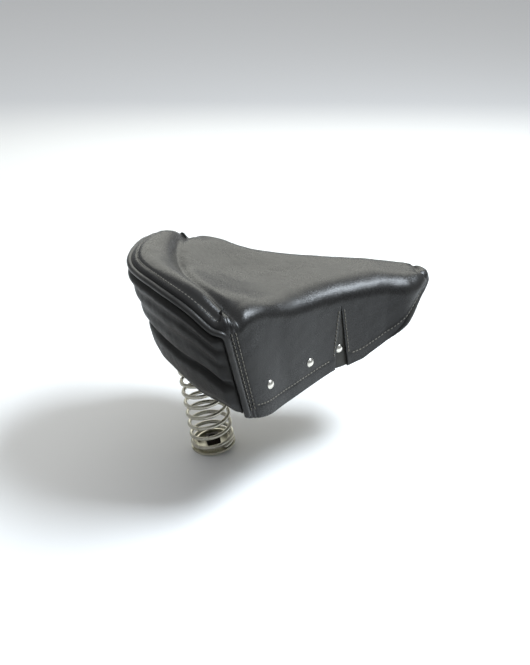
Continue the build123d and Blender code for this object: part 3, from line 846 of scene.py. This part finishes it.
front_z = hem_height(front_hem_stations) + np.interp(front_hem_stations, [5, 6.5, 8], [15, 12, 8])
front_row = wall(front_hem_stations, front_z, 0.3)
thread = stitches("seam_stitching", both_sides([cantle_row, *corner_rows, hem_row, *dart_rows, front_row]))
linen = hide("waxed_linen", (0.09, 0.085, 0.075), (0.30, 0.28, 0.23), (0.55, 0.75), pores=2500.0, depth=0.6)
dress(thread, linen)


# ---- Saddle spring ----
# One compression spring of drawn steel wire, its end turns closed and seated in the two cups,
# dull nickel plated.

FOOT = np.array((0.0, -201.0, -125.0))
LEAN = math.radians(7.0)
SPRING_UP = np.array((0.0, -math.sin(LEAN), math.cos(LEAN)))
SPRING_SIDE = np.array((1.0, 0.0, 0.0))
SPRING_FRONT = np.cross(SPRING_UP, SPRING_SIDE)
COIL_R = 26.0
WIRE_R = 2.5
SEATED_LOW, SEATED_HIGH = 5.35, 158.2

ALL_TURNS = 11.2
LAST_ACTIVE = 10.2
turns = np.linspace(0, ALL_TURNS, 810)
closed = 0.30
active = LAST_ACTIVE - 1
rise = np.where(turns < 1, closed * turns, np.where(turns > LAST_ACTIVE, 0, turns - 1 + closed))
rise = np.where(turns > LAST_ACTIVE, active + closed + closed * (turns - LAST_ACTIVE), rise)
weights = np.hanning(61)
rise = np.convolve(np.pad(rise, 30, mode="reflect", reflect_type="odd"), weights / weights.sum(), "valid")
rise = (rise - rise[0]) / (rise[-1] - rise[0])
climb = SEATED_LOW + (SEATED_HIGH - SEATED_LOW) * rise
angle = 2 * math.pi * turns + 0.4
coil_line = (FOOT + climb[:, None] * SPRING_UP + COIL_R * (
    np.cos(angle)[:, None] * SPRING_SIDE + np.sin(angle)[:, None] * SPRING_FRONT))
coil_out = np.cos(angle)[:, None] * SPRING_SIDE + np.sin(angle)[:, None] * SPRING_FRONT
spring = swept("coil_spring", coil_line, WIRE_R, None, sides=12, outward=coil_out)
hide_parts("saddle_spring")
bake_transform(spring)


# Handled metal: cloudy plating, fine scratches and dirt.  Shared by every metal finish.
def make_handled_metal_group():
    group = bpy.data.node_groups.new("handled_metal", "ShaderNodeTree")
    for name, value in (("Scratches", 0.5), ("Dirt", 0.4)):
        socket = group.interface.new_socket(name, in_out="INPUT", socket_type="NodeSocketFloat")
        socket.default_value = value
    for name in ("Dirt Mask", "Gloss", "Relief"):
        group.interface.new_socket(name, in_out="OUTPUT", socket_type="NodeSocketFloat")
    nodes, links = group.nodes, group.links
    inputs, outputs = nodes.new("NodeGroupInput"), nodes.new("NodeGroupOutput")
    place = nodes.new("ShaderNodeTexCoord")
    sums = make_adder(nodes, links)

    def noise(scale, detail, rough, warp=0.0):
        node = nodes.new("ShaderNodeTexNoise")
        links.new(place.outputs["Object"], node.inputs["Vector"])
        node.inputs["Scale"].default_value = scale
        node.inputs["Detail"].default_value = detail
        node.inputs["Roughness"].default_value = rough
        node.inputs["Distortion"].default_value = warp
        return node.outputs[0]

    clouds = noise(60.0, 4.0, 0.6)
    fine = noise(900.0, 3.0, 0.6)
    patches = noise(130.0, 6.0, 0.7, 0.8)
    dirt = sums("MULTIPLY", sums("MAXIMUM", sums("SUBTRACT", patches, 0.45), 0.0), 4.0)
    dirt_mask = sums("MINIMUM", sums("MULTIPLY", dirt, inputs.outputs["Dirt"]), 1.0)
    gloss = sums("ADD", sums("MULTIPLY", clouds, 0.7), sums("MULTIPLY", fine, 0.3))
    links.new(dirt_mask, outputs.inputs["Dirt Mask"])
    links.new(gloss, outputs.inputs["Gloss"])
    links.new(sums("MULTIPLY", fine, inputs.outputs["Scratches"]), outputs.inputs["Relief"])
    return group


handled_metal = make_handled_metal_group()


def metal(name, clean, dirty, rough, metallic=1.0, scratches=0.5, dirt=0.4, depth=0.15, coat=0.0):
    """A metal or painted finish with cloudy gloss and dirt in patches."""
    finish = bpy.data.materials.new(name)
    finish.use_nodes = True
    nodes, links = finish.node_tree.nodes, finish.node_tree.links
    surface = nodes["Principled BSDF"]
    handled = nodes.new("ShaderNodeGroup")
    handled.node_tree = handled_metal
    handled.inputs["Scratches"].default_value = scratches
    handled.inputs["Dirt"].default_value = dirt
    tone = nodes.new("ShaderNodeMix")
    tone.data_type = "RGBA"
    tone.inputs[6].default_value = (*clean, 1)
    tone.inputs[7].default_value = (*dirty, 1)
    links.new(handled.outputs["Dirt Mask"], tone.inputs[0])
    links.new(tone.outputs[2], surface.inputs["Base Color"])
    gloss = nodes.new("ShaderNodeMapRange")
    gloss.inputs["From Min"].default_value = 0.3
    gloss.inputs["From Max"].default_value = 0.7
    gloss.inputs["To Min"].default_value = rough[0]
    gloss.inputs["To Max"].default_value = rough[1]
    links.new(handled.outputs["Gloss"], gloss.inputs["Value"])
    links.new(gloss.outputs[0], surface.inputs["Roughness"])
    bump = nodes.new("ShaderNodeBump")
    bump.inputs["Strength"].default_value = depth
    bump.inputs["Distance"].default_value = 0.0003
    links.new(handled.outputs["Relief"], bump.inputs["Height"])
    links.new(bump.outputs["Normal"], surface.inputs["Normal"])
    surface.inputs["Metallic"].default_value = metallic
    surface.inputs["Coat Weight"].default_value = coat
    return finish


dress(spring, metal("spring_nickel", (0.56, 0.54, 0.46), (0.16, 0.14, 0.10), (0.24, 0.42), dirt=0.5))


# ---- Spring seats, bump stop and their bolt ----
# Two pressed steel seats, plated like the spring, locate its ends inside the coil.  A rubber
# stop hangs from the upper one, and one bolt and nut hold both to the bridge.

def finish_nodes(finish, *names):
    for name in names:
        dress(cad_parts[name], finish)


finish_nodes(metal("cup_nickel", (0.62, 0.60, 0.50), (0.24, 0.21, 0.15), (0.30, 0.50), dirt=0.45),
             "spring_foot_cup", "spring_top_cup")
finish_nodes(metal("blackened_nut", (0.045, 0.043, 0.04), (0.11, 0.08, 0.055), (0.45, 0.65), metallic=0.8),
             "foot_weld_nut", "top_cup_nut")
finish_nodes(metal("zinc_plate", (0.52, 0.53, 0.54), (0.22, 0.20, 0.17), (0.30, 0.50), dirt=0.5),
             "top_cup_bolt", "clevis_bolts", "clevis_nuts", "pivot_bolt", "pivot_nut", "pivot_washers")
finish_nodes(hide("moulded_rubber", (0.014, 0.014, 0.014), (0.045, 0.043, 0.04), (0.6, 0.8),
                  pores=700.0, crease=0.2), "bump_stop")


# ---- Seat pan, bridge and nose hinge ----
# The pan is pressed from 2 mm steel and stove enamelled black, as are the bridge welded under
# it and both halves of the nose hinge.  The hinge turns on a bronze bush.

finish_nodes(metal("pan_enamel", (0.016, 0.016, 0.017), (0.06, 0.045, 0.035), (0.22, 0.42), metallic=0.0,
                   dirt=0.35, coat=0.35), "seat_pan", "spring_bridge")
finish_nodes(metal("bracket_enamel", (0.018, 0.018, 0.019), (0.07, 0.05, 0.038), (0.25, 0.45), metallic=0.0,
                   dirt=0.5, coat=0.3), "nose_clevis", "hinge_base")
finish_nodes(metal("bush_bronze", (0.55, 0.36, 0.17), (0.20, 0.12, 0.06), (0.28, 0.45)), "hinge_bush")


# ---- Skirt rivets ----
# Three nickel plated rivets with domed heads hold each skirt to the pan, closed over washers
# on the inside.

finish_nodes(metal("rivet_nickel", (0.74, 0.72, 0.66), (0.30, 0.27, 0.20), (0.18, 0.34), dirt=0.35),
             "skirt_rivets_right", "skirt_rivets_left")
finish_nodes(metal("burr_steel", (0.45, 0.44, 0.42), (0.20, 0.16, 0.12), (0.35, 0.55), dirt=0.6),
             "skirt_burrs_right", "skirt_burrs_left")
